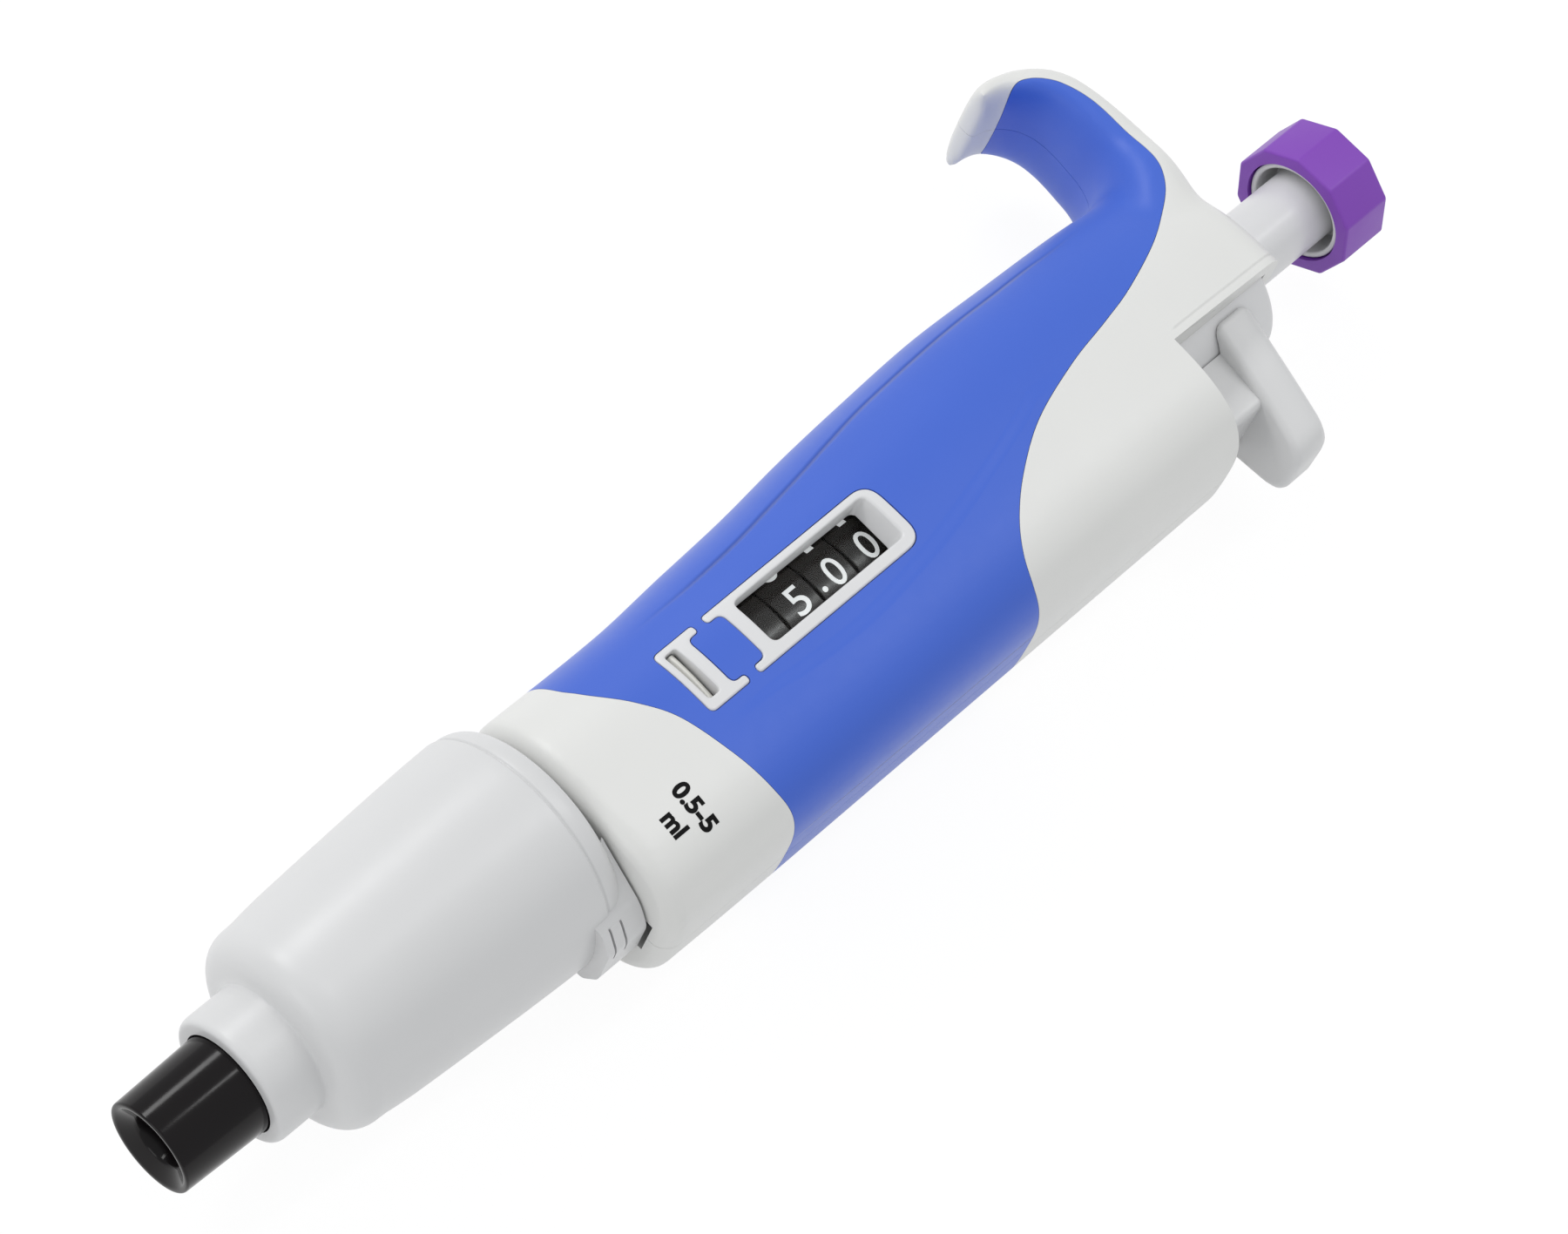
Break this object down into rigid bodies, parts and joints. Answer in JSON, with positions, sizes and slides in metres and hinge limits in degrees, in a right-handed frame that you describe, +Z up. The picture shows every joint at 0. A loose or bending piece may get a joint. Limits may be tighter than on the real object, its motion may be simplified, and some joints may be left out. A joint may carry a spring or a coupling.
{
  "type": "adjustable hand pipette",
  "caption": "Adjustable air-displacement hand pipette with finger hook, soft grip, number-wheel counter, dial plunger and tip ejector, lying on its back.",
  "frame": {"origin": "on the pipette's axis line projected to the flat of its back, 130.8 mm from the nozzle's end, where it rests on a bench", "axes": "+X along the pipette from nozzle to knob, +Y towards the finger hook, +Z up out of the counter's window"},
  "size_m": [0.2343, 0.0726, 0.0355],
  "materials": {
    "housing_white": "fine satin moulded plastic, warm light grey",
    "sleeve_grey": "smooth satin moulded plastic, cool light grey",
    "grip_blue": "soft-touch overmould, matt blue",
    "knob_purple": "satin moulded plastic, purple",
    "nozzle_black": "polished black engineering plastic",
    "wheel_black": "black number wheels with pale printed digits",
    "chassis_grey": "light grey moulded plastic",
    "steel": "turned stainless steel",
    "piston_white": "off-white low-friction plastic",
    "seal_rubber": "black seal rubber",
    "lens_clear": "clear flat window plastic"
  },
  "bodies": {
    "handle": {"housing_front": "housing_white", "housing_rear": "housing_white", "grip_front": "grip_blue", "grip_rear": "grip_blue", "counter_bezel": "sleeve_grey", "latch_bezel": "sleeve_grey", "latch_tongue": "piston_white", "counter_lens": "lens_clear", "chassis_tube": "chassis_grey", "counter_hub": "chassis_grey", "blank_drum": "wheel_black", "nozzle_cylinder": "nozzle_black", "front_rod_guide": "chassis_grey", "rear_rod_guide": "chassis_grey", "shaft_bush": "chassis_grey", "friction_ring": "seal_rubber", "main_spring": "steel", "blow_out_spring": "steel", "ejector_spring": "steel"},
    "plunger": {"thrust_plate": "steel", "piston_rod": "steel", "piston": "piston_white", "piston_seal": "seal_rubber"},
    "knob": {"push_shaft": "sleeve_grey", "spindle": "steel", "knob_cap": "knob_purple", "knob_insert": "sleeve_grey"},
    "setting_drive": {"setting_screw": "steel", "number_wheel_hundredths": "wheel_black"},
    "tenths_wheel": {"number_wheel_tenths": "wheel_black"},
    "ones_wheel": {"number_wheel_ones": "wheel_black"},
    "stop_nut": {"volume_stop": "piston_white"},
    "ejector": {"ejector_lever": "sleeve_grey", "ejector_rod": "steel", "ejector_sleeve": "sleeve_grey"}
  },
  "joints": [
    {"name": "volume_dial", "type": "hinge", "parent": "handle", "child": "setting_drive", "pos_m": [0.003, 0, 0.0178], "axis": [1, 0, 0], "range_deg": [-16200, 0]},
    {"name": "plunger_press", "type": "slide", "parent": "setting_drive", "child": "knob", "axis": [-1, 0, 0], "range_m": [0, 0.01403], "stiffness_N_per_m": 400, "springref_m": -0.01, "deforming": ["main_spring", "blow_out_spring"]},
    {"name": "piston_travel", "type": "slide", "parent": "handle", "child": "plunger", "axis": [-1, 0, 0], "range_m": [-0.0001, 0.01413]},
    {"name": "tenths_turn", "type": "hinge", "parent": "handle", "child": "tenths_wheel", "pos_m": [-0.0097, 0, 0.0178], "axis": [1, 0, 0], "range_deg": [-1621, 1]},
    {"name": "ones_turn", "type": "hinge", "parent": "handle", "child": "ones_wheel", "pos_m": [-0.0165, 0, 0.0178], "axis": [1, 0, 0], "range_deg": [-163, 1]},
    {"name": "stop_travel", "type": "slide", "parent": "handle", "child": "stop_nut", "axis": [1, 0, 0], "range_m": [-0.0001, 0.01094]},
    {"name": "tip_ejector", "type": "slide", "parent": "handle", "child": "ejector", "axis": [-1, 0, 0], "range_m": [0, 0.008], "stiffness_N_per_m": 300, "springref_m": -0.01, "deforming": ["ejector_spring"]}
  ],
  "couplings": [
    {"joint": "tenths_turn", "follows": "volume_dial", "ratio": 0.1},
    {"joint": "ones_turn", "follows": "volume_dial", "ratio": 0.01},
    {"joint": "stop_travel", "follows": "volume_dial", "m_per_rad": -0.0000383},
    {"joint": "piston_travel", "follows": "plunger_press", "ratio": 1}
  ]
}
